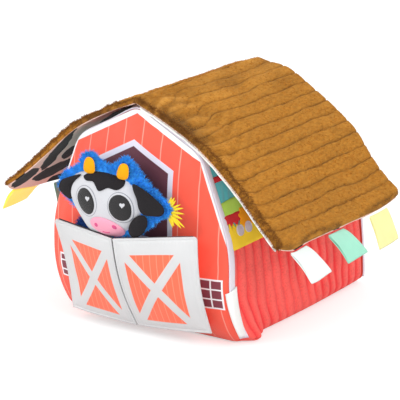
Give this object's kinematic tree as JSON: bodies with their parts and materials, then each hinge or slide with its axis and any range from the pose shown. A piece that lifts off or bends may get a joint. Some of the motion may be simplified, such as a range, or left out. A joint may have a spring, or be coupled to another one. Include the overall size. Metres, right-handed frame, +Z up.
{
  "type": "toy barn with opening doors",
  "caption": "Stuffed fabric toy barn for a baby: two door leaves that open, a plush cow behind them and a ribbed plush roof whose halves lift, with ribbon tabs.",
  "frame": {"origin": "centre of the base, on the surface that the barn rests on", "axes": "+Z up, the doors face -Y, +X towards the right door leaf as seen from the front; the ridge runs along Y"},
  "size_m": [0.3796, 0.3033, 0.2332],
  "materials": {
    "printed_satin": "satin",
    "red_plush": "matte",
    "filling": "matte",
    "binding": "satin",
    "white_satin": "satin",
    "door_print": "satin",
    "dark_cloth": "matte",
    "brown_plush": "matte",
    "patched_lining": "satin",
    "crackle_film": "gloss",
    "teal_satin": "satin",
    "green_cloth": "matte",
    "red_felt": "matte",
    "yellow_felt": "matte",
    "orange_felt": "matte",
    "grey_felt": "matte",
    "mint_satin": "satin",
    "yellow_satin": "satin",
    "gold_satin": "satin",
    "cow_white": "matte",
    "cow_black": "matte",
    "horn_yellow": "matte",
    "muzzle_pink": "matte",
    "blue_fur": "matte",
    "straw_felt": "matte"
  },
  "bodies": {
    "barn": {"fibre_filling": "filling", "front_panel": "printed_satin", "back_panel": "printed_satin", "right_wall": "red_plush", "left_wall": "red_plush", "right_activity_panel": "teal_satin", "left_activity_panel": "teal_satin", "right_top_cover": "red_plush", "left_top_cover": "red_plush", "base_panel": "red_plush", "front_binding": "binding", "back_binding": "binding", "ridge_tape": "white_satin", "right_cap_band": "red_felt", "right_thin_band": "red_felt", "right_hill_patch": "green_cloth", "right_red_fringe": "red_felt", "right_straw_patch": "yellow_felt", "right_orange_patch": "orange_felt", "right_front_disc": "grey_felt", "right_rear_disc": "grey_felt", "side_ribbon_tab": "white_satin", "left_door_gusset": "printed_satin", "right_door_gusset": "printed_satin", "pocket_floor": "dark_cloth"},
    "left_door": {"left_door_face": "door_print", "left_door_lining": "dark_cloth"},
    "right_door": {"right_door_face": "door_print", "right_door_lining": "dark_cloth"},
    "left_roof": {"left_roof_plush": "brown_plush", "left_roof_film": "crackle_film", "left_roof_lining": "patched_lining", "left_front_ribbon": "gold_satin", "left_middle_ribbon": "mint_satin", "left_rear_ribbon": "white_satin"},
    "right_roof": {"right_roof_plush": "brown_plush", "right_roof_film": "crackle_film", "right_roof_lining": "patched_lining", "right_front_ribbon": "white_satin", "right_middle_ribbon": "mint_satin", "right_rear_ribbon": "yellow_satin"},
    "cow": {"cow_head": "cow_white", "cow_fur_back": "blue_fur", "cow_body": "blue_fur", "cow_left_ear": "cow_black", "cow_right_ear": "cow_black", "cow_forehead_patch": "cow_black", "cow_left_eye": "cow_black", "cow_right_eye": "cow_black", "cow_right_hoof": "cow_black", "cow_left_hoof": "cow_black", "cow_left_horn": "horn_yellow", "cow_right_horn": "horn_yellow", "cow_muzzle": "muzzle_pink", "cow_straw_tuft": "straw_felt"}
  },
  "joints": [
    {"name": "left_door_hinge", "type": "hinge", "parent": "barn", "child": "left_door", "pos_m": [-0.0814, -0.153, 0], "axis": [0, 0, -1], "range_deg": [0, 100]},
    {"name": "right_door_hinge", "type": "hinge", "parent": "barn", "child": "right_door", "pos_m": [0.0814, -0.153, 0], "axis": [0, 0, 1], "range_deg": [0, 100]},
    {"name": "right_roof_hinge", "type": "hinge", "parent": "barn", "child": "right_roof", "pos_m": [0, -0.04, 0.2355], "axis": [0, -1, 0], "range_deg": [0, 95]},
    {"name": "left_roof_hinge", "type": "hinge", "parent": "barn", "child": "left_roof", "pos_m": [0, -0.04, 0.2355], "axis": [0, 1, 0], "range_deg": [0, 95]},
    {"name": "cow_slide", "type": "slide", "parent": "barn", "child": "cow", "axis": [0, -0.2425, 0.9701], "range_m": [0, 0.12]}
  ]
}
